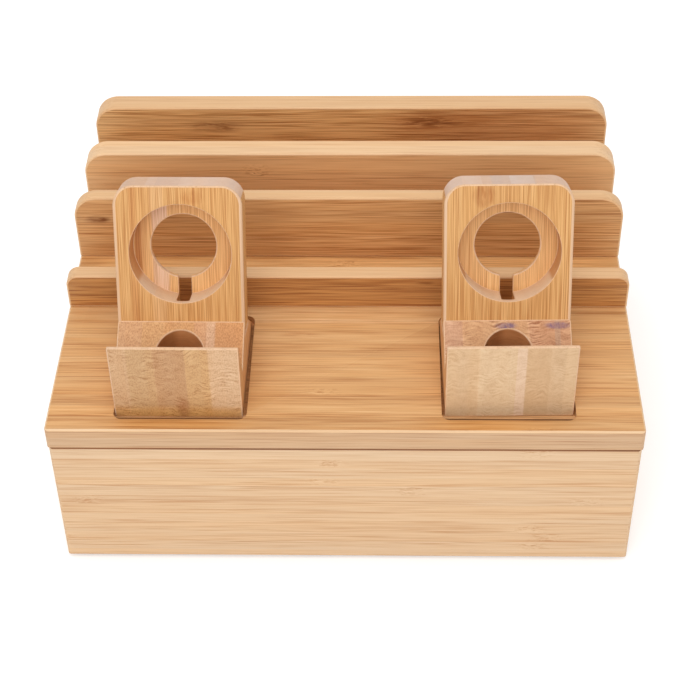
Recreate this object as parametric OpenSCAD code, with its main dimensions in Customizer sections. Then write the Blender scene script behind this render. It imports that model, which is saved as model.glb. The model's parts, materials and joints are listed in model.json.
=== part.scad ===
// Charging station organizer in laminated bamboo.
// A low box holds the charger and its cords. Its lid lifts straight off and carries four
// upright dividers with device slots between them, and two shallow pockets in which two
// loose stands sit, each with a trough for an earbud case and a leaning plate for a watch.
// Millimetres, +Z up, front towards -Y. The origin is at the bottom centre.

/* [Box] */
// Width of the lid, left to right
lid_w = 270; // [250:1:300]
// Height of the box walls, from the underside to the lid seat
box_h = 74; // [60:1:100]
// Thickness of the box wall boards
wall_t = 10; // [8:0.5:14]
// How far the box stands in from the edge of the lid all round
box_inset = 0.5; // [0:0.1:2]
// Thickness of the bottom board
bottom_t = 6; // [4:0.5:8]
// Depth of the rebate that seats the bottom board, cut into the foot of each wall
bottom_rebate = 5; // [3:0.5:6]
// Depth of the end rebates that take the side boards, cut into the front and back boards
corner_rebate = 5; // [3:0.5:6]
// Radius of the upright corners of box and lid
corner_r = 2; // [1:0.5:3]
// Width of the eased long edges of box and lid
edge_ease = 0.8; // [0.4:0.1:1.2]

/* [Cord outlet] */
// Width of the cord outlet in the back board
outlet_w = 52; // [40:1:70]
// Height of the cord outlet
outlet_h = 24; // [18:1:30]
// Height of the outlet's centre above the underside of the walls
outlet_z = 34; // [30:1:42]

/* [Feet] */
// Diameter of a foot pad
foot_d = 14; // [10:1:18]
// Thickness of a foot pad
foot_t = 1.5; // [1:0.5:3]
// Distance from the edge of the bottom board to a pad's centre
foot_margin = 12; // [10:1:20]

/* [Lid] */
// Thickness of the lid board
lid_t = 12; // [10:0.5:15]
// Width of a locating rail under the lid
rail_w = 12; // [8:1:18]
// Height of a locating rail under the lid
rail_h = 10; // [6:1:14]
// Play between the rails and the inside of the box
rail_clearance = 1; // [0.5:0.1:2]

/* [Dividers] */
// Space between neighbouring dividers, which takes one device
slot_w = 30.7; // [25:0.1:36]
// Thickness of the front divider
front_divider_t = 8; // [7:0.5:12]
// Thickness of the second divider
second_divider_t = 7.5; // [7:0.5:12]
// Thickness of the third divider
third_divider_t = 12; // [8:0.5:15]
// Thickness of the rear divider
rear_divider_t = 12; // [8:0.5:15]
// Height of the front divider above the lid
front_divider_h = 19.2; // [15:0.1:26]
// Height of the second divider above the lid
second_divider_h = 36.6; // [30:0.1:45]
// Height of the third divider above the lid
third_divider_h = 35.6; // [30:0.1:45]
// Height of the rear divider above the lid
rear_divider_h = 34.4; // [30:0.1:45]
// Radius of the front divider's top corners
front_divider_r = 6; // [4:0.5:10]
// Radius of the other dividers' top corners
divider_r = 12; // [8:0.5:16]
// Width of the eased edges of a divider
divider_ease = 0.8; // [0.4:0.1:1.4]
// Thickness of the tongue under each divider
tongue_t = 5; // [4:0.5:6]
// Depth of the tongue in the lid
tongue_h = 4; // [3:0.5:6]
// Distance from the lid's side to the end of the tongue
tongue_stop = 10; // [6:1:20]

/* [Cable slots] */
// Length of a cable slot in the floor of a device slot
cable_slot_l = 36; // [24:1:50]
// Width of a cable slot
cable_slot_w = 12; // [8:0.5:14]
// Distance between a divider's back and the cable slot behind it
cable_slot_gap = 2.5; // [1.5:0.5:5]
// Distance from the middle of the lid to the centre of a cable slot
cable_slot_x = 60; // [35:1:90]

/* [Stand pockets] */
// Distance from the lid's side edge to a pocket
pocket_inset = 30.3; // [28.5:0.1:40]
// Depth of a pocket in the lid
pocket_depth = 3.5; // [2:0.5:5]
// Distance from the lid's front edge to a pocket
pocket_margin = 7.2; // [5:0.1:15]
// Distance from a pocket to the front divider
pocket_land = 6.4; // [4:0.1:15]
// Play beside a stand in its pocket, on each side
pocket_side_gap = 1.2; // [1.2:0.1:3]
// Space in front of a stand in its pocket
pocket_front_gap = 5.6; // [3:0.1:8]
// Space behind a stand in its pocket
pocket_rear_gap = 2.8; // [2.2:0.1:5]
// Radius of a pocket's corners
pocket_r = 4; // [2:0.5:6]
// How far the hole in a pocket's floor reaches past the cable ways above it, all round
outlet_margin = 2; // [1:0.5:3]

/* [Stand position] */
// How far the left stand lies to the right in its pocket
left_shift_x = -0.5; // [-0.5:0.1:0.5]
// How far the left stand lies back in its pocket
left_shift_y = -0.7; // [-1.2:0.1:1.2]
// How far the left stand is turned in its pocket, in degrees
left_turn = -0.4; // [-1:0.1:1]
// How far the right stand lies to the right in its pocket
right_shift_x = -0.3; // [-0.5:0.1:0.5]
// How far the right stand lies back in its pocket
right_shift_y = 0.7; // [-1.2:0.1:1.2]
// How far the right stand is turned in its pocket, in degrees
right_turn = 1; // [-1:0.1:1]

/* [Stand cradle] */
// Width of a stand
stand_w = 58.2; // [54:0.1:60]
// Length of a cradle, front to back
cradle_l = 62.4; // [61:0.1:70]
// Height of the front lip above the cradle's underside
lip_h = 41.8; // [36:0.1:44]
// Width of the flat along the top of the lip
lip_t = 1.6; // [0.8:0.1:3]
// Distance from the front to the bottom of the trough
trough_y = 12; // [11:0.1:14]
// Height of the trough's bottom
trough_h = 17.9; // [14:0.1:20]
// Distance from the front to the foot of the plate's face
plate_y = 33.2; // [33:0.1:37]
// Height of the foot of the plate's face, where the trough's slope ends
plate_z = 28.9; // [27:0.1:31]
// Depth of the seat that takes the plate's foot
seat_depth = 7; // [5:0.5:9]
// Height of the rear shoulder behind the plate
shoulder_h = 18.6; // [18:0.1:20]
// Height of the heel at the rear end
heel_h = 2.5; // [2:0.1:5]
// Diameter of the upright cable hole in the trough
case_hole_d = 22.4; // [16:0.1:22.4]
// Distance from the front to the centre of the cable hole
case_hole_y = 18.2; // [17:0.1:18.2]
// Width of the cable notch in the heel
heel_notch_w = 8; // [6:0.5:12]
// Length of the cable notch in the heel
heel_notch_l = 8; // [5:0.5:10]

/* [Stand plate] */
// Lean of the plate from upright, in degrees
plate_lean = 22; // [18:0.5:26]
// Length of the plate above the trough
plate_l = 63.8; // [60:0.1:72]
// Thickness of the plate
plate_t = 16.5; // [15:0.5:18]
// Radius of the plate's top corners
plate_r = 9.5; // [6:0.5:14]
// Distance from the foot of the face to the centre of the round holes
hole_height = 32; // [31:0.1:36]
// How far the round holes lie to the right of the plate's middle
hole_shift = 0.6; // [-2:0.1:2]
// Diameter of the recess for the watch
recess_d = 46.5; // [42:0.5:48]
// Depth of the recess
recess_depth = 13.5; // [9:0.5:13.5]
// Diameter of the hole for the charging disc
disc_d = 30; // [27:0.5:32]
// Width of the cable groove down the back
groove_w = 6; // [4:0.5:8]
// Depth of the cable groove
groove_depth = 13.5; // [8:0.5:13.5]

/* [Dowels] */
// Diameter of a dowel between plate and cradle
dowel_d = 6; // [4:0.5:8]
// Length of a dowel
dowel_l = 20; // [14:1:24]
// Distance from the middle of the stand to a dowel
dowel_x = 20; // [16:0.5:23]
// Play round a dowel and at each of its ends
dowel_clearance = 0.1; // [0.05:0.05:0.3]

/* [Hidden] */
$fn = 96;
edge_fn = 32;
overcut = 1;

cradle_room = cradle_l + pocket_front_gap + pocket_rear_gap;
pocket_w = stand_w + 2 * pocket_side_gap;
pocket_x = lid_w / 2 - pocket_inset - pocket_w / 2;
divider_t = [front_divider_t, second_divider_t, third_divider_t, rear_divider_t];
divider_h = [front_divider_h, second_divider_h, third_divider_h, rear_divider_h];
divider_corner = [front_divider_r, divider_r, divider_r, divider_r];
// Distance from the lid's front edge to the front of divider i
function divider_front(i) = i == 0
    ? pocket_margin + cradle_room + pocket_land
    : divider_back(i - 1) + slot_w;
function divider_back(i) = divider_front(i) + divider_t[i];
lid_d = divider_back(3);
front_y = -lid_d / 2;

box_w = lid_w - 2 * box_inset;
box_d = lid_d - 2 * box_inset;
floor_z = foot_t;
seat_z = floor_z + box_h;
lid_z = seat_z + lid_t;
bottom_w = box_w - 2 * (wall_t - bottom_rebate);
bottom_d = box_d - 2 * (wall_t - bottom_rebate);
inner_w = box_w - 2 * wall_t;
inner_d = box_d - 2 * wall_t;

lean_y = sin(plate_lean);
lean_z = cos(plate_lean);
seat_front = [plate_y - seat_depth * lean_y, plate_z - seat_depth * lean_z];
seat_back = seat_front + plate_t * [lean_z, -lean_y];
shoulder_y = seat_back[0] + (shoulder_h - seat_back[1]) * lean_y / lean_z;

// A flat board with rounded corners, lying on z = 0 and centred
module rounded_plan(size, r) {
    square([size[0] - 2 * r, size[1]], center = true);
    square([size[0], size[1] - 2 * r], center = true);
    for (x = [-1, 1], y = [-1, 1])
        translate([x * (size[0] / 2 - r), y * (size[1] / 2 - r)]) circle(r);
}

// A rectangle from z = 0 up whose upper and lower corners are cut by the eased edges
module eased_section(w, h, ease) {
    polygon([[-w / 2 + ease, 0], [w / 2 - ease, 0], [w / 2, ease], [w / 2, h - ease],
        [w / 2 - ease, h], [-w / 2 + ease, h], [-w / 2, h - ease], [-w / 2, ease]]);
}

// A block with rounded upright corners and eased long edges, standing on z = 0
module eased_block(w, d, h, r, ease) {
    intersection() {
        linear_extrude(height = h) rounded_plan([w, d], r);
        translate([0, d / 2 + overcut, 0]) rotate([90, 0, 0])
            linear_extrude(height = d + 2 * overcut) eased_section(w, h, ease);
        translate([-w / 2 - overcut, 0, 0]) rotate([90, 0, 90])
            linear_extrude(height = w + 2 * overcut) eased_section(d, h, ease);
    }
}

// A slot with round ends along X, centred, from z = 0 to h
module round_slot(l, w, h) {
    translate([-(l - w) / 2, -w / 2, 0]) cube([l - w, w, h]);
    for (side = [-1, 1]) translate([side * (l - w) / 2, 0, 0]) cylinder(d = w, h = h);
}

// The outside of the whole box, which every wall board is trimmed to
module box_envelope() {
    translate([0, 0, floor_z]) eased_block(box_w, box_d, box_h, corner_r, edge_ease);
}

// The rebate round the foot of the walls that takes the bottom board
module bottom_seat() {
    translate([-bottom_w / 2, -bottom_d / 2, floor_z - overcut])
        cube([bottom_w, bottom_d, bottom_t + overcut]);
}

// A front or back board, side -1 for the front and 1 for the back
module end_board(side) {
    y_outer = side * box_d / 2;
    y_inner = side * inner_d / 2;
    difference() {
        intersection() {
            box_envelope();
            translate([-box_w / 2, min(y_outer, y_inner), floor_z]) cube([box_w, wall_t, box_h]);
        }
        bottom_seat();
        for (x = [-box_w / 2, inner_w / 2])
            translate([x - (x < 0 ? overcut : 0),
                min(y_inner, y_inner + side * corner_rebate) - (side > 0 ? overcut : 0), floor_z - overcut])
                cube([wall_t + overcut, corner_rebate + overcut, box_h + 2 * overcut]);
    }
}

// A side board, side -1 for the left and 1 for the right, let into the front and back boards
module side_board(side) {
    length = inner_d + 2 * corner_rebate;
    difference() {
        intersection() {
            box_envelope();
            translate([side > 0 ? inner_w / 2 : -box_w / 2, -length / 2, floor_z])
                cube([wall_t, length, box_h]);
        }
        bottom_seat();
    }
}

module front_panel() { color("burlywood") end_board(-1); }

module back_panel() {
    color("burlywood") difference() {
        end_board(1);
        translate([0, box_d / 2 + overcut, floor_z + outlet_z]) rotate([90, 0, 0])
            round_slot(outlet_w, outlet_h, wall_t + 2 * overcut);
    }
}

module left_panel() { color("tan") side_board(-1); }
module right_panel() { color("tan") side_board(1); }

module bottom_panel() {
    color("wheat") translate([-bottom_w / 2, -bottom_d / 2, floor_z]) cube([bottom_w, bottom_d, bottom_t]);
}

// A foot pad, stuck under a corner of the bottom board
module foot(side, end) {
    color("dimgray") translate([side * (bottom_w / 2 - foot_margin), end * (bottom_d / 2 - foot_margin), 0])
        cylinder(d = foot_d, h = foot_t);
}

module front_left_foot() { foot(-1, -1); }
module front_right_foot() { foot(1, -1); }
module rear_left_foot() { foot(-1, 1); }
module rear_right_foot() { foot(1, 1); }

// The hole through a pocket's floor that leads both cables of a stand into the box
module pocket_outlet() {
    width = case_hole_d + 2 * outlet_margin;
    start = pocket_margin + pocket_front_gap + case_hole_y - width / 2;
    end = pocket_margin + pocket_front_gap + cradle_l;
    translate([0, front_y + (start + end) / 2, seat_z - overcut]) rotate([0, 0, 90])
        round_slot(end - start, width, lid_t + 2 * overcut);
}

// The pocket that one stand drops into
module pocket() {
    translate([0, front_y + pocket_margin + cradle_room / 2, lid_z - pocket_depth])
        linear_extrude(height = pocket_depth + overcut) rounded_plan([pocket_w, cradle_room], pocket_r);
}

module lid_panel() {
    color("sandybrown") difference() {
        translate([0, 0, seat_z]) eased_block(lid_w, lid_d, lid_t, corner_r, edge_ease);
        for (side = [-1, 1]) translate([side * pocket_x, 0, 0]) {
            pocket();
            pocket_outlet();
        }
        for (i = [0:3]) tongue(i, overcut);
        for (i = [0:2], side = [-1, 1])
            translate([side * cable_slot_x, front_y + divider_back(i) + cable_slot_gap + cable_slot_w / 2,
                seat_z - overcut])
                round_slot(cable_slot_l, cable_slot_w, lid_t + 2 * overcut);
    }
}

// A rail glued under the lid, which keeps the lid in place on the box
module rail(side) {
    length = inner_d - 2 * rail_clearance;
    x_outer = side * (inner_w / 2 - rail_clearance);
    color("tan") translate([min(x_outer, x_outer - side * rail_w), -length / 2, seat_z - rail_h])
        cube([rail_w, length, rail_h]);
}

module left_rail() { rail(-1); }
module right_rail() { rail(1); }

// The tongue under divider i, with extra height above the lid where it cuts its groove
module tongue(i, extra) {
    translate([-lid_w / 2 + tongue_stop, front_y + divider_front(i) + (divider_t[i] - tongue_t) / 2,
        lid_z - tongue_h])
        cube([lid_w - 2 * tongue_stop, tongue_t, tongue_h + extra]);
}

// An upright divider with rounded top corners, eased edges and a stopped tongue
module divider(i) {
    t = divider_t[i];
    h = divider_h[i];
    r = divider_corner[i];
    ease = divider_ease;
    translate([0, front_y + divider_back(i), lid_z]) rotate([90, 0, 0]) hull() {
        for (side = [-1, 1]) translate([side * (lid_w / 2 - r), h - r, 0]) {
            translate([0, 0, ease]) cylinder(r = r, h = t - 2 * ease, $fn = edge_fn);
            cylinder(r = r - ease, h = t, $fn = edge_fn);
        }
        translate([-lid_w / 2, 0, ease]) cube([lid_w, ease, t - 2 * ease]);
        translate([ease - lid_w / 2, 0, 0]) cube([lid_w - 2 * ease, ease, t]);
    }
    tongue(i, 0);
}

module front_divider() { color("peru") divider(0); }
module second_divider() { color("peru") divider(1); }
module third_divider() { color("burlywood") divider(2); }
module rear_divider() { color("peru") divider(3); }

// Puts a stand's own frame, whose origin is mid-width at the front of its underside, in its pocket
module place_stand(side, shift_x, shift_y, turn) {
    translate([side * pocket_x + shift_x,
        front_y + pocket_margin + pocket_front_gap + shift_y + cradle_l / 2, lid_z - pocket_depth])
        rotate([0, 0, turn]) translate([0, -cradle_l / 2, 0]) children();
}
module in_left_pocket() { place_stand(-1, left_shift_x, left_shift_y, left_turn) children(); }
module in_right_pocket() { place_stand(1, right_shift_x, right_shift_y, right_turn) children(); }

// Puts the plate's own frame, whose origin is mid-width at the foot of its face, on the cradle
module on_seat() {
    translate([0, plate_y, plate_z]) rotate([-plate_lean, 0, 0]) children();
}

// The two dowels across the seat, with play added where they cut their holes
module dowel_pair(play) {
    on_seat() for (side = [-1, 1])
        translate([side * dowel_x, plate_t / 2, -seat_depth - dowel_l / 2 - play])
            cylinder(d = dowel_d + 2 * play, h = dowel_l + 2 * play);
}

// The cradle: trough for the earbud case, slanted seat for the plate and a sloping heel
module cradle() {
    difference() {
        translate([-stand_w / 2, 0, 0]) rotate([90, 0, 90]) linear_extrude(height = stand_w)
            polygon([[0, 0], [0, lip_h], [lip_t, lip_h], [trough_y, trough_h],
                [plate_y, plate_z], seat_front, seat_back, [shoulder_y, shoulder_h],
                [cradle_l, heel_h], [cradle_l, 0]]);
        translate([0, case_hole_y, -overcut]) cylinder(d = case_hole_d, h = lip_h + overcut);
        translate([-heel_notch_w / 2, cradle_l - heel_notch_l, -overcut])
            cube([heel_notch_w, heel_notch_l + overcut, shoulder_h + overcut]);
        dowel_pair(dowel_clearance);
    }
}

// The front outline of the plate: square foot, rounded top
module plate_outline() {
    translate([-stand_w / 2, -seat_depth]) square([stand_w, plate_l + seat_depth - plate_r]);
    translate([-stand_w / 2 + plate_r, -seat_depth]) square([stand_w - 2 * plate_r, plate_l + seat_depth]);
    for (side = [-1, 1]) translate([side * (stand_w / 2 - plate_r), plate_l - plate_r]) circle(plate_r);
}

// The leaning plate: recess for the watch, hole for the charging disc, cable groove down the back
module plate() {
    difference() {
        on_seat() difference() {
            translate([0, plate_t, 0]) rotate([90, 0, 0]) linear_extrude(height = plate_t) plate_outline();
            translate([hole_shift, 0, 0]) {
                translate([0, recess_depth, hole_height]) rotate([90, 0, 0])
                    cylinder(d = recess_d, h = recess_depth + overcut);
                translate([0, plate_t + overcut, hole_height]) rotate([90, 0, 0])
                    cylinder(d = disc_d, h = plate_t + 2 * overcut);
                translate([-groove_w / 2, plate_t - groove_depth, -seat_depth - overcut])
                    cube([groove_w, groove_depth + overcut, hole_height + seat_depth + overcut]);
            }
        }
        dowel_pair(dowel_clearance);
    }
}

module left_cradle() { color("burlywood") in_left_pocket() cradle(); }
module left_plate() { color("goldenrod") in_left_pocket() plate(); }
module left_dowels() { color("wheat") in_left_pocket() dowel_pair(0); }
module right_cradle() { color("burlywood") in_right_pocket() cradle(); }
module right_plate() { color("goldenrod") in_right_pocket() plate(); }
module right_dowels() { color("wheat") in_right_pocket() dowel_pair(0); }

front_panel();
back_panel();
left_panel();
right_panel();
bottom_panel();
front_left_foot();
front_right_foot();
rear_left_foot();
rear_right_foot();
lid_panel();
left_rail();
right_rail();
front_divider();
second_divider();
third_divider();
rear_divider();
left_cradle();
left_plate();
left_dowels();
right_cradle();
right_plate();
right_dowels();
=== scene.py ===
"""Charging station organizer in laminated bamboo: finishes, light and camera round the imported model."""

import json
import math

import bmesh
import bpy
from mathutils import Matrix, Vector


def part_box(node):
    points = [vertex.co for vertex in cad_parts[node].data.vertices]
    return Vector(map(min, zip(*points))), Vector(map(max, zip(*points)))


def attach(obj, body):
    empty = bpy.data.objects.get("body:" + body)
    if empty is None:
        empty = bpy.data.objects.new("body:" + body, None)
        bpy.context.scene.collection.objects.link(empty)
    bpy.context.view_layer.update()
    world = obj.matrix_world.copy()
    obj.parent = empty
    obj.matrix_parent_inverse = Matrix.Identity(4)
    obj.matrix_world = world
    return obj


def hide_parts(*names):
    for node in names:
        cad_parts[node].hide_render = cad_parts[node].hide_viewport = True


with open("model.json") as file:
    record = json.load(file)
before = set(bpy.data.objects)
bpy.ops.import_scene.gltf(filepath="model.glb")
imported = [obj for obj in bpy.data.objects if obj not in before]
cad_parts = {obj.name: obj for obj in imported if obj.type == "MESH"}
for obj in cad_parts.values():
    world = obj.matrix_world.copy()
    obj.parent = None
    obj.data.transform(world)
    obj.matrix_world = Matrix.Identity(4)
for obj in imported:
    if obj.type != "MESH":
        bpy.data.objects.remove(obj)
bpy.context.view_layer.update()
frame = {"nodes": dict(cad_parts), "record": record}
nodes = frame["nodes"]

MM = 0.001
X, Y, Z = Vector((1, 0, 0)), Vector((0, 1, 0)), Vector((0, 0, 1))
WORLD = (X, Y, Z, Vector())
FLOAT, COLOUR, VECTOR = "NodeSocketFloat", "NodeSocketColor", "NodeSocketVector"


def tone(red, green, blue):
    """A tone on the 0 to 255 screen scale, as the linear colour that nodes take."""
    def linear(value):
        value /= 255.0
        return value / 12.92 if value <= 0.04045 else ((value + 0.055) / 1.055) ** 2.4
    return (linear(red), linear(green), linear(blue), 1.0)


# Wiring helpers

class Wiring:
    """Adds nodes to one node tree and links them. A value is a number, a colour or another node's output."""

    def __init__(self, tree):
        self.tree = tree
        self.column = 0

    def add(self, kind, inputs=None, **settings):
        """A new node with its settings, and then with what its inputs take."""
        made = self.tree.nodes.new(kind)
        self.column += 1
        made.location = (180 * (self.column % 24), -220 * (self.column // 24))
        for name, value in settings.items():
            setattr(made, name, value)
        for label, value in (inputs or {}).items():
            self.feed(made.inputs[label], value)
        return made

    def feed(self, socket, value):
        if isinstance(value, bpy.types.NodeSocket):
            self.tree.links.new(value, socket)
        elif value is not None:
            socket.default_value = value

    def math(self, operation, *values, clamp=False):
        made = self.add("ShaderNodeMath", operation=operation, use_clamp=clamp)
        for socket, value in zip(made.inputs, values):
            self.feed(socket, value)
        return made.outputs[0]

    def plus(self, first, second):
        return self.math("ADD", first, second)

    def less(self, first, second):
        return self.math("SUBTRACT", first, second)

    def times(self, first, second):
        return self.math("MULTIPLY", first, second)

    def centred(self, value, amount):
        """A value between 0 and 1, as an amount either side of 0."""
        return self.times(self.less(value, 0.5), amount)

    def vector(self, operation, *values):
        made = self.add("ShaderNodeVectorMath", operation=operation)
        for socket, value in zip(made.inputs, values):
            self.feed(socket, value)
        return made.outputs["Value" if operation in ("DOT_PRODUCT", "LENGTH") else "Vector"]

    def join(self, x, y, z):
        made = self.add("ShaderNodeCombineXYZ")
        for socket, value in zip(made.inputs, (x, y, z)):
            self.feed(socket, value)
        return made.outputs[0]

    def split(self, vector):
        made = self.add("ShaderNodeSeparateXYZ")
        self.feed(made.inputs[0], vector)
        return made.outputs[0], made.outputs[1], made.outputs[2]

    def blend(self, amount, first, second):
        """The first colour at 0, the second at 1. A mix node keeps its colours on these numbered sockets."""
        made = self.add("ShaderNodeMix", {"Factor": amount, 6: first, 7: second},
                        data_type="RGBA", blend_type="MIX", clamp_factor=True)
        return made.outputs[2]

    def fade(self, value, start, end, low=0.0, high=1.0):
        """A smooth step from low at start to high at end."""
        made = self.add("ShaderNodeMapRange", interpolation_type="SMOOTHSTEP", clamp=True)
        for socket, number in zip(made.inputs, (value, start, end, low, high)):
            self.feed(socket, number)
        return made.outputs[0]

    def noise(self, vector, scale=1.0, detail=2.0, roughness=0.5, distortion=0.0):
        made = self.add("ShaderNodeTexNoise", {"Vector": vector, "Scale": scale, "Detail": detail,
                        "Roughness": roughness, "Distortion": distortion}, noise_dimensions="3D")
        return made.outputs["Fac"]

    def dice(self, vector):
        """One random number for each whole-numbered vector."""
        return self.add("ShaderNodeTexWhiteNoise", {"Vector": vector}, noise_dimensions="3D").outputs["Value"]


def new_group(name, inputs, outputs):
    """A shader node group with named sockets. An input is (name, type, default)."""
    group = bpy.data.node_groups.new(name, "ShaderNodeTree")
    for label, kind, default in inputs:
        socket = group.interface.new_socket(label, in_out="INPUT", socket_type=kind)
        if default is not None:
            socket.default_value = default
    for label, kind in outputs:
        group.interface.new_socket(label, in_out="OUTPUT", socket_type=kind)
    wiring = Wiring(group)
    return group, wiring, wiring.add("NodeGroupInput").outputs, wiring.add("NodeGroupOutput").inputs


# Bamboo

# Noise cells per metre, along the fibres and across them
WAVER_GRAIN = (7.0, 30.0)
BAND_GRAIN = (4.0, 330.0)
LINE_GRAIN = (13.0, 850.0)
FIBRE_GRAIN = (34.0, 1900.0)
HAIR_GRAIN = (11.0, 1250.0)
SCRIBBLE_GRAIN = (300.0, 1300.0)
DRIFT_GRAIN = (6.0, 90.0)
STRIP_WAVER = 0.5 * MM
STRIP_UNEVENNESS = 0.9
KNUCKLES_PER_METRE = 4.3
KNUCKLE_REACH = 11.0 * MM
KNUCKLE_CORE = 2.0 * MM
KNUCKLE_BOW = 4.0 * MM
BOW_PER_METRE = 120.0


def bamboo_group():
    """Laminated bamboo in three dimensions: strips side by side, each denser towards one edge,
    with bands, lines and fine fibres along them, dark hairlines and knuckles.

    Grain Vector has X along the fibres, Y across the strips and Z through the layers, in metres,
    so that faces cut across the fibres show them as dots and bands, as sawn ends do.
    """
    group, w, given, out = new_group(
        "laminated_bamboo",
        [("Grain Vector", VECTOR, None), ("Strip Width", FLOAT, 0.006), ("Layer Depth", FLOAT, 0.02),
         ("Seed", FLOAT, 0.0), ("Pale", COLOUR, None), ("Middle", COLOUR, None), ("Dark", COLOUR, None),
         ("Strip Contrast", FLOAT, 0.12), ("Edge Shade", FLOAT, 0.15), ("Bands", FLOAT, 0.3),
         ("Lines", FLOAT, 0.4), ("Fibres", FLOAT, 1.0), ("Fineness", FLOAT, 1.0), ("Hairlines", FLOAT, 0.2),
         ("Warmth", FLOAT, 0.06), ("Knuckle Share", FLOAT, 0.4), ("Knuckle Strength", FLOAT, 0.3),
         ("Marks", FLOAT, 0.0)],
        [("Colour", COLOUR), ("Roughness", FLOAT), ("Height", FLOAT)])
    along, across, through = w.split(given["Grain Vector"])
    seed = given["Seed"]
    plus, times, less = w.plus, w.times, w.less

    # Strips of uneven width that waver a little, each with numbers of its own
    waver = w.noise(w.join(times(along, WAVER_GRAIN[0]), seed, times(across, WAVER_GRAIN[1])), 1.0, 1.0)
    across_bent = plus(across, w.centred(waver, STRIP_WAVER))
    even_place = w.math("DIVIDE", across_bent, given["Strip Width"])
    uneven = w.noise(w.join(times(even_place, 0.8), seed, 3.0), 1.0, 0.0)
    strip_place = plus(even_place, w.centred(uneven, STRIP_UNEVENNESS))
    strip = w.math("FLOOR", strip_place)
    part = less(strip_place, strip)
    layer = w.math("FLOOR", w.math("DIVIDE", through, given["Layer Depth"]))
    strip_tone = w.dice(w.join(strip, layer, seed))
    strip_phase = w.dice(w.join(strip, layer, plus(seed, 17.0)))
    strip_kind = w.dice(w.join(strip, layer, plus(seed, 31.0)))
    shift = times(strip_phase, 91.0)

    # The wood is denser and darker towards the edge that was the outside of the cane
    turned = w.math("GREATER_THAN", strip_kind, 0.5)
    from_inside = w.math("ABSOLUTE", less(part, turned))
    dense = times(w.fade(from_inside, 0.1, 1.0), plus(0.3, times(strip_tone, 0.7)))

    # A knuckle is a short patch of crowded, bent fibres in one strip
    knuckle_place = w.math("FRACT", plus(times(along, KNUCKLES_PER_METRE), times(strip_phase, 7.0)))
    knuckle_away = times(w.math("ABSOLUTE", less(knuckle_place, 0.5)), 1.0 / KNUCKLES_PER_METRE)
    lens = w.fade(w.math("ABSOLUTE", less(part, 0.5)), 0.6, 0.2)
    has_knuckle = w.math("LESS_THAN", w.math("FRACT", times(strip_kind, 13.7)), given["Knuckle Share"])
    knuckle = times(times(w.fade(knuckle_away, KNUCKLE_REACH, KNUCKLE_CORE), lens), has_knuckle)
    bowing = w.noise(w.join(times(along, BOW_PER_METRE), times(strip_place, 2.0), seed), 1.0, 1.0)
    bow = times(w.centred(bowing, KNUCKLE_BOW), knuckle)
    fibre_across = plus(across_bent, bow)

    def stretched(lengthwise, crosswise):
        return w.join(plus(times(along, lengthwise), shift),
                      times(fibre_across, crosswise), times(through, crosswise))

    bands = w.noise(stretched(*BAND_GRAIN), 1.0, 1.0)
    lines = w.noise(stretched(*LINE_GRAIN), 1.0, 1.0)
    finer = times(given["Fineness"], FIBRE_GRAIN[1])
    fibres = w.noise(stretched(FIBRE_GRAIN[0], finer), 1.0, 1.0, 0.6)
    hairs = w.fade(w.noise(stretched(*HAIR_GRAIN), 1.0, 0.0), 0.66, 0.74)
    lengthwise, crosswise = SCRIBBLE_GRAIN
    scribble_place = w.join(times(along, lengthwise), times(across, crosswise), times(through, crosswise))
    scribble = w.fade(w.noise(scribble_place, 1.0, 1.0, 0.6, 1.1), 0.48, 0.62)

    # The level runs from the dark tone at 0 over the middle one at a half to the pale one at 1
    level = plus(0.5, w.centred(strip_tone, given["Strip Contrast"]))
    level = less(level, times(less(dense, 0.3), given["Edge Shade"]))
    level = plus(level, w.centred(bands, given["Bands"]))
    level = plus(level, w.centred(lines, given["Lines"]))
    level = plus(level, w.centred(fibres, times(given["Fibres"], plus(0.7, times(dense, 0.8)))))
    level = less(level, times(hairs, given["Hairlines"]))
    marks = times(knuckle, less(scribble, 0.25))
    level = less(level, times(marks, given["Knuckle Strength"]))
    level = w.math("ADD", level, given["Marks"], clamp=True)

    dark_half = w.blend(times(level, 2.0), given["Dark"], given["Middle"])
    wood = w.blend(less(times(level, 2.0), 1.0), dark_half, given["Pale"])
    drift_place = w.join(plus(times(along, DRIFT_GRAIN[0]), shift), times(across, DRIFT_GRAIN[1]), seed)
    drift = w.noise(drift_place, 1.0, 1.0)
    warmth = times(plus(w.centred(strip_kind, 1.0), w.centred(drift, 2.5)), given["Warmth"])
    tint = w.join(plus(1.0, times(warmth, 0.35)),
                  less(1.0, times(warmth, 0.15)), less(1.0, times(warmth, 1.0)))
    w.feed(out["Colour"], w.vector("MULTIPLY", wood, tint))
    w.feed(out["Roughness"], plus(0.44, times(fibres, 0.16)))
    w.feed(out["Height"], less(plus(fibres, times(lines, 0.5)), plus(hairs, times(marks, 0.5))))
    return group


# Noise cells per metre, across a sawn face and up it
DOT_GRAIN = (1900.0, 1000.0)
SWELL_GRAIN = (120.0, 60.0)
RIPPLE_GRAIN = (170.0, 1150.0)
PLACE_GRAIN = (110.0, 70.0)
RIPPLE_SWELL = 10.0 * MM


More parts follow.
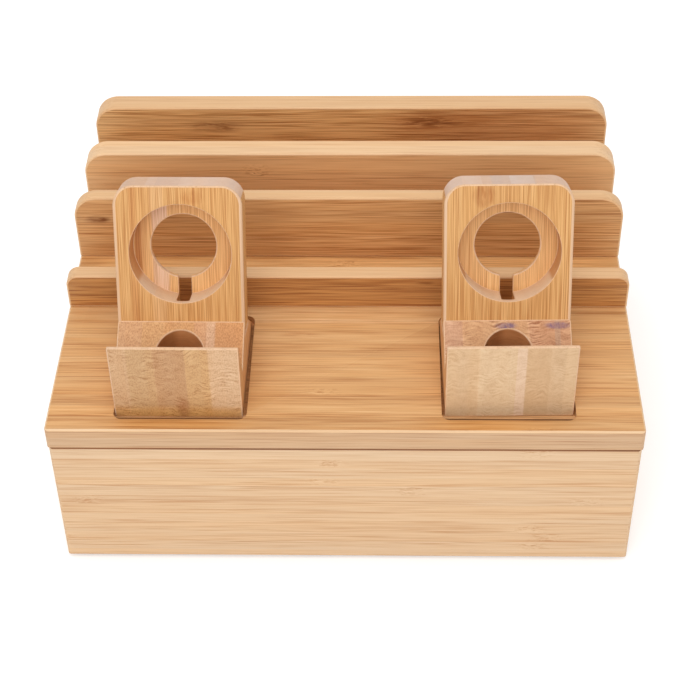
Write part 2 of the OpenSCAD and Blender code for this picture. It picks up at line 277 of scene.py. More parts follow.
def sawn_end_group():
    """Lighter and darker marks on a face cut across the fibres: dots where bundles end, and saw ripples.

    Face Vector has X across the piece, Y up its face and Z into it, in metres.
    """
    group, w, given, out = new_group(
        "sawn_end_marks",
        [("Face Vector", VECTOR, None), ("Seed", FLOAT, 0.0), ("Dots", FLOAT, 0.3), ("Ripples", FLOAT, 0.2)],
        [("Marks", FLOAT)])
    across, up, _ = w.split(given["Face Vector"])

    def spread(grain, upward, seed):
        return w.join(w.times(across, grain[0]), w.times(upward, grain[1]), seed)

    dots = w.noise(spread(DOT_GRAIN, up, given["Seed"]), 1.0, 0.0, 0.5, 0.5)
    swell = w.centred(w.noise(spread(SWELL_GRAIN, up, given["Seed"]), 1.0, 1.0), RIPPLE_SWELL)
    ripples = w.noise(spread(RIPPLE_GRAIN, w.plus(up, swell), given["Seed"]), 1.0, 1.0, 0.5)
    places = w.noise(spread(PLACE_GRAIN, up, w.plus(given["Seed"], 5.0)), 1.0, 1.0)
    rippled = w.times(w.centred(w.fade(ripples, 0.30, 0.70), 1.0), w.fade(places, 0.40, 0.62, 0.35, 1.5))
    dotted = w.centred(w.fade(dots, 0.30, 0.70), 1.0)
    w.feed(out["Marks"], w.plus(w.times(dotted, given["Dots"]), w.times(rippled, given["Ripples"])))
    return group


BAMBOO = bamboo_group()
SAWN_END = sawn_end_group()
BREAKS_PER_METRE = (80.0, 620.0, 620.0)
SATIN = 0.42
FIBRE_RELIEF = 0.04 * MM
RUBBER_GRAIN = 900.0
RUBBER_RELIEF = 0.05 * MM


def seen_from(w, axes):
    """Object coordinates measured along three directions from an origin."""
    place = w.add("ShaderNodeTexCoord").outputs["Object"]
    place = w.vector("SUBTRACT", place, tuple(axes[3]))
    return w.join(*(w.vector("DOT_PRODUCT", place, tuple(axis)) for axis in axes[:3]))


def patch(centre, reach, shade, strength=1.0, broken=1.0, inner=0.2):
    """A rounded place, in millimetres, where the wood takes another shade.

    broken is how far the grain breaks it up, and inner is the share of its reach that has the full shade.
    """
    return {"centre": Vector(centre) * MM, "reach": Vector(reach) * MM, "shade": shade,
            "strength": strength, "broken": broken, "inner": inner, "square": False}


def band(low, high, shade, strength=1.0, broken=0.0, inner=0.85):
    """A straight-sided place between two corners, in millimetres, where the wood takes another shade."""
    low, high = Vector(low), Vector(high)
    return {**patch((low + high) / 2.0, (high - low) / 2.0, shade, strength, broken, inner), "square": True}


def laid_over(w, one, colour, grain_alone, place, breaks):
    """The colour with one patch laid over it, in which the grain still shows."""
    away = w.vector("DIVIDE", w.vector("SUBTRACT", place, tuple(one["centre"])), tuple(one["reach"]))
    if one["square"]:
        x, y, z = w.split(w.vector("ABSOLUTE", away))
        away = w.math("MAXIMUM", x, w.math("MAXIMUM", y, z))
    else:
        away = w.vector("LENGTH", away)
    mask = w.times(w.fade(away, 1.0, one["inner"]), one["strength"])
    if one["broken"]:
        mask = w.times(mask, w.plus(w.times(breaks, one["broken"]), 1.0 - one["broken"]))
    return w.blend(mask, colour, w.vector("MULTIPLY", grain_alone, one["shade"][:3]))


def bamboo(name, pale, middle, dark, along=X, across=Y, through=Z, origin=(0.0, 0.0, 0.0),
           patches=(), patch_axes=WORLD, sawn=None, **settings):
    """A bamboo finish, with the node group's inputs as settings.

    Patches are measured in patch_axes. sawn gives a cut face's axes, seed, dots and ripples.
    """
    material = bpy.data.materials.new(name)
    material.use_nodes = True
    material.node_tree.nodes.clear()
    w = Wiring(material.node_tree)
    grain = seen_from(w, (along, across, through, Vector(origin)))
    tones = {"Pale": pale, "Middle": middle, "Dark": dark}
    strips = w.add("ShaderNodeGroup", {"Grain Vector": grain, **tones}, node_tree=BAMBOO)
    for label, value in settings.items():
        strips.inputs[label.replace("_", " ").title()].default_value = value
    if sawn:
        axes, seed, dots, ripples = sawn
        face = {"Face Vector": seen_from(w, axes), "Seed": seed, "Dots": dots, "Ripples": ripples}
        marks = w.add("ShaderNodeGroup", face, node_tree=SAWN_END)
        w.feed(strips.inputs["Marks"], marks.outputs["Marks"])
    colour = strips.outputs["Colour"]
    if patches:
        place = seen_from(w, patch_axes)
        grain_alone = w.vector("DIVIDE", colour, middle[:3])
        breaks = None
        if any(one["broken"] for one in patches):
            uneven = w.noise(w.vector("MULTIPLY", grain, BREAKS_PER_METRE), 1.0, 3.0, 0.6, 0.9)
            breaks = w.fade(uneven, 0.40, 0.60)
        for one in patches:
            colour = laid_over(w, one, colour, grain_alone, place, breaks)
    relief = w.add("ShaderNodeBump", {"Distance": FIBRE_RELIEF, "Strength": 1.0,
                                      "Height": strips.outputs["Height"]})
    surface = w.add("ShaderNodeBsdfPrincipled", {
        "Base Color": colour, "Roughness": strips.outputs["Roughness"], "Specular IOR Level": SATIN,
        "Normal": relief.outputs[0]})
    w.add("ShaderNodeOutputMaterial", {"Surface": surface.outputs[0]})
    return material


def moulded_rubber(name, colour, roughness):
    """One colour broken by a fine moulded grain."""
    material = bpy.data.materials.new(name)
    material.use_nodes = True
    w = Wiring(material.node_tree)
    surface = material.node_tree.nodes["Principled BSDF"]
    place = w.add("ShaderNodeTexCoord").outputs["Object"]
    grain = w.noise(place, RUBBER_GRAIN, 3.0)
    darker = tuple(0.8 * part for part in colour[:3]) + (1.0,)
    w.feed(surface.inputs["Base Color"], w.blend(grain, darker, colour))
    w.feed(surface.inputs["Roughness"], w.plus(roughness, w.times(grain, 0.15)))
    relief = w.add("ShaderNodeBump", {"Distance": RUBBER_RELIEF, "Height": grain})
    w.feed(surface.inputs["Normal"], relief.outputs[0])
    return material


CRADLE_LENGTH = 62.4 * MM


def stand_directions(side):
    """One stand's own directions and places, since the two stands are turned a little in their pockets.

    right and back are level, upward and inward lie along and into the leaning plate, hole is the middle
    of the charging hole and front is the foot of the cradle's face, at mid-width.
    """
    hole = next(m for m in frame["record"]["mounts"] if m["name"] == side + "_charger_hole")
    outward = Vector(hole["axis"])
    back = Vector((-outward.x, -outward.y, 0.0)).normalized()
    right = back.cross(Z)
    inward = -outward
    low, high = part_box(side + "_cradle")
    front = (low + high) / 2.0 - CRADLE_LENGTH / 2.0 * back
    front.z = low.z
    return {"right": right, "back": back, "upward": right.cross(inward), "inward": inward,
            "hole": Vector(hole["pos_m"]), "front": front}


# Finishes

BOARD = dict(strip_width=0.0063, layer_depth=0.05, strip_contrast=0.20, edge_shade=0.18, bands=0.44,
             lines=0.50, fibres=1.35, hairlines=0.16, warmth=0.08, knuckle_share=0.5, knuckle_strength=0.35)
# Painted shade: the brown of the chamfers where the lid meets the box, which stands for the shade in the gap
# between them
GAP_SHADE_BROWN = tone(150, 98, 56)
front_finish = bamboo(
    "front_board_bamboo", tone(233, 198, 159), tone(223, 186, 145), tone(198, 147, 101),
    across=Z, through=Y, seed=3.0, **BOARD)
side_finish = bamboo(
    "side_board_bamboo", tone(233, 198, 158), tone(221, 182, 141), tone(196, 145, 101),
    along=Y, across=Z, through=X, seed=11.0, **BOARD)
bottom_finish = bamboo(
    "bottom_board_bamboo", tone(231, 197, 154), tone(217, 176, 133), tone(192, 142, 97),
    seed=23.0, **{**BOARD, "strip_width": 0.02})
# Painted shade for the chamfers between lid and box
gap_shade_finish = bamboo(
    "gap_shade_bamboo", tone(176, 124, 78), GAP_SHADE_BROWN, tone(120, 74, 38),
    across=Z, through=Y, seed=4.0, **BOARD)
# Painted highlight: a paler finish for the lid's upper chamfers
arris_highlight_finish = bamboo(
    "arris_highlight_bamboo", tone(236, 202, 160), tone(228, 190, 146), tone(204, 158, 112), seed=7.0, **BOARD)

LID = dict(strip_width=0.0066, layer_depth=0.03, strip_contrast=0.26, edge_shade=0.26, bands=0.52,
           lines=0.55, fibres=1.4, hairlines=0.16, warmth=0.09, knuckle_share=0.35, knuckle_strength=0.35)
LID_ORANGE = tone(214, 152, 84)
lid_finish = bamboo(
    "lid_bamboo", tone(231, 185, 131), tone(215, 163, 106), tone(180, 122, 69), seed=5.0, **LID,
    patches=(patch((-80, -104, 87.5), (46, 7, 4), LID_ORANGE, 0.8, 0.2),
             patch((62, -104, 87.5), (42, 7, 4), LID_ORANGE, 0.8, 0.2),
             patch((-22, -44, 87.5), (14, 3, 4), tone(190, 128, 74), 0.6),
             band((-135, -35.5, 80), (135, -32.2, 90), tone(234, 190, 140), 0.6, 0.3, 0.5),
             # Painted light: the lid is paler between the dividers and behind them, to lift the shade that
             # falls on the floor there
             band((-136, -16, 80), (136, 15, 90), tone(246, 192, 126), 0.8, 0.1),
             band((-136, 22, 80), (136, 110, 90), tone(228, 176, 116), 0.8, 0.1)))
lid_edge_finish = bamboo(
    "lid_edge_bamboo", tone(220, 182, 142), tone(207, 166, 125), tone(183, 134, 94),
    across=Z, through=Y, seed=6.0, **{**BOARD, "strip_width": 0.0055},
    patches=(band((-136, -110, 75), (136, 110, 79.4), tone(199, 153, 112), 0.6, 0.2, 0.6),))
# Painted shade: the pocket is darker than the lid, for the shade in the narrow gaps round the stands; next to
# its front wall a dark band is painted shade, with a pale strip behind it in the lid's own tone
pocket_shade_finish = bamboo(
    "pocket_shade_bamboo", tone(208, 150, 94), tone(184, 126, 74), tone(148, 96, 52), seed=9.0, **LID,
    patches=(band((-135, -110, 80), (135, -93.8, 90), tone(240, 190, 136), 0.9),
             band((-135, -110, 80), (135, -96.1, 90), tone(118, 76, 42), 0.85, 0.0, 0.97)))
rail_finish = bamboo(
    "rail_bamboo", tone(236, 200, 150), tone(222, 178, 126), tone(190, 138, 90),
    along=Y, across=X, through=Z, seed=8.0)


def divider_finish(name, seed, pale, middle, dark, patches=(), **changes):
    """The finish of a divider's faces: fine, even fibres, with changes to the usual settings."""
    settings = dict(strip_width=0.0078, layer_depth=0.04, strip_contrast=0.10, edge_shade=0.12, bands=0.26,
                    lines=0.40, fibres=1.7, hairlines=0.2, warmth=0.08, knuckle_share=0.2,
                    knuckle_strength=0.35)
    settings.update(changes)
    return bamboo(name, pale, middle, dark, across=Z, through=Y, seed=seed, patches=patches, **settings)


def edge_finish(name, seed, pale, middle, dark):
    """The finish of a divider's edges, which is paler and calmer than its faces."""
    return bamboo(name, pale, middle, dark, seed=seed, strip_width=0.005, layer_depth=0.05,
                  strip_contrast=0.12, edge_shade=0.1, bands=0.3, lines=0.35, fibres=0.8, hairlines=0.05,
                  knuckle_share=0.1)


UMBER = tone(132, 76, 34)
EDGE_TONES = (tone(232, 193, 148), tone(222, 179, 132), tone(196, 145, 99))
PALE_EDGE_TONES = (tone(243, 206, 162), tone(233, 192, 146), tone(207, 157, 112))
divider_faces = {
    "front_divider": divider_finish(
        "front_divider_bamboo", 41.0, tone(204, 149, 88), tone(184, 127, 71), tone(147, 90, 45),
        patches=(patch((37.5, -23.6, 103), (6, 3, 2.0), UMBER, 0.7),), fibres=3.8, fineness=1.5),
    "second_divider": divider_finish(
        "second_divider_bamboo", 42.0, tone(224, 174, 118), tone(208, 154, 98), tone(168, 110, 60),
        patches=(patch((-123.5, 15.1, 110.7), (8, 4, 3.4), UMBER, 1.0, 0.7, 0.4),), fibres=2.6, fineness=1.3),
    "third_divider": divider_finish(
        "third_divider_bamboo", 43.0, tone(236, 190, 136), tone(222, 172, 118), tone(184, 130, 80),
        patches=(patch((6.5, 53.3, 104.3), (7, 3, 0.9), UMBER, 0.35),), fibres=1.2),
    "rear_divider": divider_finish(
        "rear_divider_bamboo", 44.0, tone(226, 180, 123), tone(210, 161, 104), tone(162, 110, 60),
        patches=(patch((84, 96, 110), (80, 4, 22), tone(186, 126, 76), 0.75, 0.15, 0.4),
                 patch((46, 96, 113), (44, 4, 9), tone(176, 112, 58), 0.8, 0.5),
                 patch((42, 96, 113), (22, 4, 5), tone(120, 66, 26), 0.9),
                 patch((-71, 96, 110), (20, 4, 5), UMBER, 0.75, 0.8)), fibres=3.2, fineness=1.4),
}
divider_edges = {}
for i, name in enumerate(divider_faces):
    tones = PALE_EDGE_TONES if name == "third_divider" else EDGE_TONES
    divider_edges[name] = edge_finish(name + "_edge_bamboo", 50.0 + i, *tones)


CRADLE_EDGE = -31.0
BAND_OVERLAP = 1.2


def cradle_bands(*rows):
    """Straight bands across a cradle, each from where the last one ended.

    A row is an end in millimetres and a tone, and then a strength where that isn't 0.9.
    """
    start, made = CRADLE_EDGE, []
    for end, shade, *strength in rows:
        made.append(band((start, -40, -30), (end, 40, 80), tone(*shade), *(strength or [0.9])))
        start = end - BAND_OVERLAP
    return tuple(made)


cradle_face = {
    "left": cradle_bands((-20.3, (205, 161, 118)), (-8.3, (198, 154, 107)), (5.7, (190, 142, 98)),
                         (16.1, (203, 157, 106)), (30.0, (213, 172, 132)))
            + (band((-40, -40, -20), (40, 40, 8.5), tone(222, 161, 92), 0.85, 0.0, 0.6),
               patch((2.5, 0, 5), (4.5, 40, 9), tone(167, 104, 59), 0.7, 0.4)),
    "right": cradle_bands((-14.3, (214, 178, 138)), (3.0, (220, 188, 150)), (7.0, (224, 192, 162)),
                          (17.6, (207, 169, 128)), (30.0, (212, 176, 136))),
}
cradle_trough = {
    "left": cradle_bands((-17.0, (204, 153, 106)), (-7.0, (206, 155, 101)), (7.0, (204, 149, 93)),
                         (12.7, (202, 147, 101)), (16.3, (212, 164, 123), 1.0), (30.0, (202, 140, 83))),
    "right": cradle_bands((-20.0, (199, 149, 113)), (10.6, (202, 151, 104)), (22.6, (197, 142, 100)),
                          (25.0, (187, 144, 111)), (30.0, (197, 142, 100)))
             + (patch((-0.6, 30.6, 27.6), (6.5, 2.2, 3), tone(124, 92, 108), 1.0, 0.4, 0.35),
                patch((23.1, 30.6, 27.6), (8, 2.2, 3), tone(130, 92, 106), 1.0, 0.4, 0.35)),
}
plate_patches = {
    "left": (band((-22.6, -60, -20), (-19.2, 60, 40), tone(186, 118, 56), 0.9, 0.1, 0.7),
             band((-13.6, -40, -20), (-6.6, 40, 40), tone(226, 184, 140), 0.35, 0.1, 0.7),
             band((-15.0, -40, -14), (-6.6, 40, 40), tone(222, 182, 152), 0.7, 0.0, 0.7),
             patch((6, 26.5, -16.5), (7, 5, 4), tone(190, 124, 60), 0.8, 0.6, 0.5)),
    "right": (patch((-12, 26.5, -16.5), (6.5, 7, 4), tone(176, 108, 48), 0.95, 0.6, 0.6),),
}
plate_end_patches = {
    "left": (band((-34, 0, -40), (-14.5, 60, 40), tone(212, 168, 130), 0.6, 0.0, 0.9),),
    "right": (band((-9, 0, -40), (12, 60, 40), tone(206, 178, 160), 0.7, 0.0, 0.9),),
}
# Strengths of the dots and ripples on each stand's sawn faces
SAWN_FACE = {"left": (0.28, 0.38), "right": (0.08, 0.20)}
SAWN_TROUGH = {"left": (0.30, 0.12), "right": (0.14, 0.58)}
PLATE = dict(strip_width=0.0055, layer_depth=0.03, strip_contrast=0.04, edge_shade=0.04, bands=0.0,
             lines=0.05, fibres=3.6, fineness=1.8, hairlines=0.10, warmth=0.04, knuckle_share=0.2,
             knuckle_strength=0.4)
PLATE_END = dict(strip_width=0.012, layer_depth=0.03, strip_contrast=0.35, edge_shade=0.1, bands=0.3,
                 lines=0.2, fibres=0.25, hairlines=0.0, warmth=0.12, knuckle_share=0.0)
RECESS = dict(strip_width=0.012, layer_depth=0.03, strip_contrast=0.2, edge_shade=0.1, bands=0.2, lines=0.1,
              fibres=0.4, hairlines=0.0, knuckle_share=0.0)
BLOCK = dict(strip_width=0.0118, layer_depth=0.09, strip_contrast=0.06, edge_shade=0.05, bands=0.25,
             lines=0.15, fibres=0.15, hairlines=0.0, warmth=0.05, knuckle_share=0.0)
BORE = dict(strip_width=0.012, layer_depth=0.09, strip_contrast=0.1, edge_shade=0.1, bands=0.5, lines=0.25,
            fibres=0.3, hairlines=0.0)


def stand_finishes(side, seed):
    """The finishes of one stand by the name of the place, which all follow that stand's directions."""
    way = stand_directions(side)
    right, back, upward, inward = way["right"], way["back"], way["upward"], way["inward"]
    leaning = dict(along=upward, across=right, through=inward, origin=way["hole"],
                   patch_axes=(right, upward, inward, way["hole"]))
    level_axes = (right, back, Z, way["front"])
    level = dict(along=back, across=right, through=Z, origin=way["front"], patch_axes=level_axes)
    sawn_face = ((right, Z, back, way["front"]), seed, *SAWN_FACE[side])
    slope = (back + 0.5 * Z).normalized()
    sawn_trough = ((right, slope, Z, way["front"]), seed + 3.0, *SAWN_TROUGH[side])
    # Painted light: the floor of the recess is made paler, to lift the shade in the hollow
    painted_recess_light = band((-24, -24, -13.5), (24, 24, 2), tone(236, 184, 122), 0.5, 0.0, 0.8)
    return {
        "plate": bamboo(
            side + "_plate_bamboo", tone(229, 178, 116), tone(211, 156, 93), tone(186, 126, 66),
            seed=seed, patches=(painted_recess_light,) + plate_patches[side], **PLATE, **leaning),
        "plate_end": bamboo(
            side + "_plate_end_bamboo", tone(231, 199, 176), tone(217, 181, 155), tone(198, 157, 129),
            seed=seed + 1.0, patches=plate_end_patches[side], **PLATE_END, **leaning),
        # Painted highlight and shade: the recess wall is pale in its lowest part, where it faces up, and
        # brown above that, where it is in shade
        "recess": bamboo(
            side + "_recess_wall_painted_light_bamboo", tone(238, 208, 178), tone(226, 190, 154), tone(204, 160, 120),
            seed=seed + 3.0, **RECESS, **leaning,
            patches=(band((-30, -14, -20), (30, 30, 5), tone(200, 138, 82), 0.9, 0.0, 0.9),)),
        # Painted highlight: a paler finish for the rounded edges and the top of the cradle's lip
        "arris": bamboo(
            side + "_arris_highlight_bamboo", tone(234, 196, 158), tone(224, 184, 146), tone(200, 156, 116),
            seed=seed + 2.0, bands=0.3, lines=0.3, fibres=0.6, **leaning),
        "cradle": bamboo(
            side + "_cradle_bamboo", tone(238, 204, 164), tone(222, 182, 140), tone(186, 136, 90),
            seed=seed + 5.0, patches=cradle_face[side], sawn=sawn_face, **BLOCK, **level),
        "trough": bamboo(
            side + "_trough_bamboo", tone(240, 196, 154), tone(216, 166, 122), tone(172, 112, 70),
            seed=seed + 6.0, patches=cradle_trough[side], sawn=sawn_trough, **BLOCK, **level),
        "cheek": bamboo(
            side + "_cheek_bamboo", tone(230, 182, 130), tone(212, 158, 104), tone(178, 120, 68),
            seed=seed + 7.0, strip_width=0.008, layer_depth=0.09,
            along=back, across=Z, through=right, origin=way["front"]),
        # Painted shade: the walls of the case hole are darker, and darker still over its left half, for the
        # shade inside the hole
        "bore": bamboo(
            side + "_bore_shade_bamboo", tone(222, 164, 108), tone(204, 142, 90), tone(170, 108, 62),
            seed=seed + 8.0, along=right, across=Z, through=back, origin=way["front"], patch_axes=level_axes,
            patches=(band((-14, 0, -5), (0, 40, 40), tone(160, 102, 56), 0.8, 0.0, 0.2),), **BORE),
    }


stand_faces = {"left": stand_finishes("left", 61.0), "right": stand_finishes("right", 71.0)}
dowel_finish = bamboo(
    "dowel_wood", tone(238, 206, 160), tone(226, 188, 140), tone(196, 150, 104),
    along=Z, across=X, through=Y, seed=90.0)
rubber = moulded_rubber("foot_pad_rubber", tone(46, 44, 42), 0.62)


# Pieces

WELD = 0.002 * MM
FLAT = math.radians(0.4)
SHARP = math.radians(28.0)
RIM_SHARE = 1.3


def softened(name, node, edge, segments=3, arris=-1, share=None, facing=None, wide=False):
    """A merged copy of a CAD node with its arrises rounded over, which stands for that node.

    facing names the direction of two large faces that get an even rim, so that a wide round-over fits there.
    """
    mesh = nodes[node].data.copy()
    piece = bpy.data.objects.new(name, mesh)
    bpy.context.scene.collection.objects.link(piece)
    shape = bmesh.new()
    shape.from_mesh(mesh)
    bmesh.ops.remove_doubles(shape, verts=shape.verts, dist=WELD)
    bmesh.ops.dissolve_limit(shape, angle_limit=FLAT, verts=shape.verts, edges=shape.edges)
    bmesh.ops.triangulate(shape, faces=shape.faces)
    if facing:
        for way in (facing, -facing):
            reach = max(corner.co.dot(way) for corner in shape.verts)
            flat = [face for face in shape.faces if face.normal.dot(way) > 0.999
                    and face.calc_center_median().dot(way) > reach - 0.05 * MM]
            bmesh.ops.inset_region(shape, faces=flat, thickness=RIM_SHARE * edge, use_even_offset=True)
    shape.to_mesh(mesh)
    shape.free()
    mesh.materials.clear()
    round_edges(piece, edge, segments, arris, share, wide)
    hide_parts(node)
    return piece


def round_edges(piece, edge, segments=3, arris=-1, share=None, wide=False):
    """Rounds the sharp edges over.

    The new faces take a neighbour's finish, or the one at the place in the piece's list that arris gives.
    share, where it is given, says from an edge's middle how much of the full width that edge gets.
    wide keeps the full width beside the short edges of a curve.
    """
    if share:
        shape = bmesh.new()
        shape.from_mesh(piece.data)
        weights = shape.edges.layers.float.new("bevel_weight_edge")
        for line in shape.edges:
            sharp = line.is_manifold and line.calc_face_angle() > SHARP
            line[weights] = share((line.verts[0].co + line.verts[1].co) / 2.0) if sharp else 0.0
        shape.to_mesh(piece.data)
        shape.free()
    for polygon in piece.data.polygons:
        polygon.use_smooth = True
    piece.data.set_sharp_from_angle(angle=SHARP)
    round_over = piece.modifiers.new("round_over", "BEVEL")
    round_over.width = edge
    round_over.segments = segments
    round_over.limit_method = "WEIGHT" if share else "ANGLE"
    round_over.angle_limit = SHARP
    round_over.harden_normals = True
    round_over.use_clamp_overlap = not wide
    round_over.material = arris


def new_shape(name, inputs):
    """A geometry node tree with named sizes, which ends in Realize Instances and Set Material."""
    tree = bpy.data.node_groups.new(name, "GeometryNodeTree")
    for label, kind in inputs:
        tree.interface.new_socket(label, in_out="INPUT", socket_type=kind)
    tree.interface.new_socket("Finish", in_out="INPUT", socket_type="NodeSocketMaterial")
    tree.interface.new_socket("Geometry", in_out="OUTPUT", socket_type="NodeSocketGeometry")
    w = Wiring(tree)
    given = w.add("NodeGroupInput").outputs
    real = w.add("GeometryNodeRealizeInstances")
    finished = w.add("GeometryNodeSetMaterial", {"Geometry": real.outputs[0], "Material": given["Finish"]})
    w.add("NodeGroupOutput", {"Geometry": finished.outputs[0]})
    return tree, w, given, real.inputs[0]


def shaped(name, tree, finish, **sizes):
    """A plain mesh made by a geometry node tree from its sizes."""
    holder = bpy.data.objects.new(name + "_maker", bpy.data.meshes.new(name + "_maker"))
    bpy.context.scene.collection.objects.link(holder)
    maker = holder.modifiers.new("shape", "NODES")
    maker.node_group = tree
    values = {label.replace("_", " ").title(): value for label, value in sizes.items()}
    values["Finish"] = finish
    for socket in tree.interface.items_tree:
        if socket.in_out == "INPUT":
            maker[socket.identifier] = values[socket.name]
    bpy.context.view_layer.update()
    made = holder.evaluated_get(bpy.context.evaluated_depsgraph_get())
    mesh = bpy.data.meshes.new_from_object(made)
    bpy.data.objects.remove(holder)
    mesh.materials.clear()
    mesh.materials.append(finish)
    for polygon in mesh.polygons:
        polygon.material_index = 0
    piece = bpy.data.objects.new(name, mesh)
    bpy.context.scene.collection.objects.link(piece)
    return piece


def moved(w, geometry, place, turn=(0.0, 0.0, 0.0)):
    """Geometry turned and then moved to its place."""
    turned = {"Geometry": geometry, "Translation": place, "Rotation": turn}
    return w.add("GeometryNodeTransform", turned).outputs[0]


def together(w, *parts):
    """Several geometries as one."""
    made = w.add("GeometryNodeJoinGeometry")
    for part in parts:
        w.feed(made.inputs[0], part)
    return made.outputs[0]


CORNER_STEPS = 14
DISC_CORNERS = 64
RING_CORNERS = 48
SECTION_CORNERS = 8
RING_PLACES = (0.42, 0.80)


def divider_tree():
    """An upright board with two rounded top corners, on a stopped tongue."""
    tree, w, given, ready = new_shape("rounded_divider", (
        ("Width", FLOAT), ("Height", FLOAT), ("Thickness", FLOAT), ("Corner Radius", FLOAT),
        ("Back", FLOAT), ("Foot Level", FLOAT),
        ("Tongue Length", FLOAT), ("Tongue Thickness", FLOAT), ("Tongue Depth", FLOAT)))
    outline = w.add("GeometryNodeCurvePrimitiveQuadrilateral",
                    {"Width": given["Width"], "Height": given["Height"]})
    above = w.math("GREATER_THAN", w.split(w.add("GeometryNodeInputPosition").outputs[0])[1], 0.0)
    rounded = w.add("GeometryNodeFilletCurve", {
        "Curve": outline.outputs[0], "Count": CORNER_STEPS,
        "Radius": w.times(above, given["Corner Radius"])}, mode="POLY")
    face = w.add("GeometryNodeFillCurve", {"Curve": rounded.outputs[0]}, mode="NGONS").outputs[0]
    raised = w.add("GeometryNodeExtrudeMesh", {
        "Mesh": face, "Offset Scale": given["Thickness"], "Individual": False}, mode="FACES")
    underside = w.add("GeometryNodeFlipFaces", {"Mesh": face})
    closed = w.add("GeometryNodeMergeByDistance", {
        "Geometry": together(w, raised.outputs[0], underside.outputs[0]), "Distance": 0.01 * MM})
    middle = w.plus(given["Foot Level"], w.times(given["Height"], 0.5))
    board = moved(w, closed.outputs[0], w.join(0.0, given["Back"], middle), (math.pi / 2.0, 0.0, 0.0))
    tongue_size = w.join(given["Tongue Length"], given["Tongue Thickness"], given["Tongue Depth"])
    tongue = w.add("GeometryNodeMeshCube", {"Size": tongue_size})
    tongue_place = w.join(0.0, w.less(given["Back"], w.times(given["Thickness"], 0.5)),
                          w.less(given["Foot Level"], w.times(given["Tongue Depth"], 0.5)))
    w.feed(ready, together(w, board, moved(w, tongue.outputs[0], tongue_place)))
    return tree


def pad_tree():
    """Four rubber foot pads at the corners of a rectangle, each a disc with raised rings underneath."""
    tree, w, given, ready = new_shape("ribbed_foot_pads", (
        ("Radius", FLOAT), ("Thickness", FLOAT), ("Ring Height", FLOAT),
        ("Spread X", FLOAT), ("Spread Y", FLOAT)))
    disc = w.add("GeometryNodeMeshCylinder", {
        "Vertices": DISC_CORNERS, "Radius": given["Radius"],
        "Depth": w.less(given["Thickness"], given["Ring Height"])}, fill_type="NGON")
    disc_middle = w.times(w.plus(given["Thickness"], given["Ring Height"]), 0.5)
    parts = [moved(w, disc.outputs["Mesh"], w.join(0.0, 0.0, disc_middle))]
    for place in RING_PLACES:
        way_round = w.add("GeometryNodeCurvePrimitiveCircle", {
            "Resolution": RING_CORNERS, "Radius": w.times(given["Radius"], place)})
        section = w.add("GeometryNodeCurvePrimitiveCircle", {
            "Resolution": SECTION_CORNERS, "Radius": given["Ring Height"]})
        ring = w.add("GeometryNodeCurveToMesh", {
            "Curve": way_round.outputs[0], "Profile Curve": section.outputs[0]})
        parts.append(moved(w, ring.outputs[0], w.join(0.0, 0.0, given["Ring Height"])))
    corners = w.add("GeometryNodeMeshGrid", {
        "Vertices X": 2, "Vertices Y": 2, "Size X": given["Spread X"], "Size Y": given["Spread Y"]})
    placed = w.add("GeometryNodeInstanceOnPoints", {
        "Points": corners.outputs["Mesh"], "Instance": together(w, *parts)})
    w.feed(ready, placed.outputs[0])
    return tree


def paint(piece, *finishes):
    """Adds finishes to a piece's list, the first of which every face has until it gets another."""
    for finish in finishes:
        piece.data.materials.append(finish)


def paint_where(piece, finish, test):
    """Gives a finish to the faces that pass a test of their normal and centre."""
    place = piece.data.materials.find(finish.name)
    for polygon in piece.data.polygons:
        if test(polygon.normal, polygon.center):
            polygon.material_index = place


FINE_EDGE = 0.3 * MM
RAIL_EDGE = 0.5 * MM
CRADLE_ROUND = 0.5 * MM
DIVIDER_ROUND = 0.9 * MM
PLATE_ROUND = 1.6 * MM


def make_box():
    """The four sides and the bottom, with painted shade in brown on the chamfer under the lid, where the gap
    between lid and box is.
    """
    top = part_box("front_panel")[1].z
    for node, finish, slot in (
            ("front_panel", front_finish, "front_bamboo"), ("back_panel", front_finish, "box_bamboo"),
            ("left_panel", side_finish, "box_bamboo"), ("right_panel", side_finish, "box_bamboo"),
            ("bottom_panel", bottom_finish, "bottom_bamboo")):
        piece = softened(node + "_board", node, FINE_EDGE)
        paint(piece, finish, gap_shade_finish)
        # Painted shade on the box's top chamfer, under the lid
        paint_where(piece, gap_shade_finish,
                    lambda normal, centre: 0.3 < normal.z < 0.95 and centre.z > top - 2 * MM)
        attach(piece, "box")


POCKET_BACK = -28.0 * MM
POCKET_INSET = 5.0 * MM


def make_lid():
    """The lid board, with finishes of its own for its edges, its chamfers (painted shade on the lower ones, a
    painted highlight on the upper ones) and its pocket (painted shade), and the two rails.
    """
    piece = softened("lid_board", "lid_panel", FINE_EDGE)
    paint(piece, lid_finish, lid_edge_finish, pocket_shade_finish, gap_shade_finish, arris_highlight_finish)
    low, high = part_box("lid_panel")

    def outside(centre):
        return not (low.x + MM <= centre.x <= high.x - MM and low.y + MM <= centre.y <= high.y - MM)

    paint_where(piece, lid_edge_finish, lambda normal, centre: abs(normal.z) < 0.3 and outside(centre))
    # The pocket's faces take the painted shade
    paint_where(piece, pocket_shade_finish,
                lambda normal, centre: low.y + POCKET_INSET < centre.y < POCKET_BACK
                and low.z + MM < centre.z < high.z - 0.5 * MM)
    # Painted shade on the lid's lower chamfer, over the box
    paint_where(piece, gap_shade_finish, lambda normal, centre: -0.95 < normal.z < -0.3 and outside(centre))
    # Painted highlight on the lid's upper chamfers
    paint_where(piece, arris_highlight_finish, lambda normal, centre: 0.3 < normal.z < 0.95 and outside(centre))
    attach(piece, "lid")
    for node in ("left_rail", "right_rail"):
        rail = softened(node + "_batten", node, RAIL_EDGE)
        paint(rail, rail_finish)
        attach(rail, "lid")


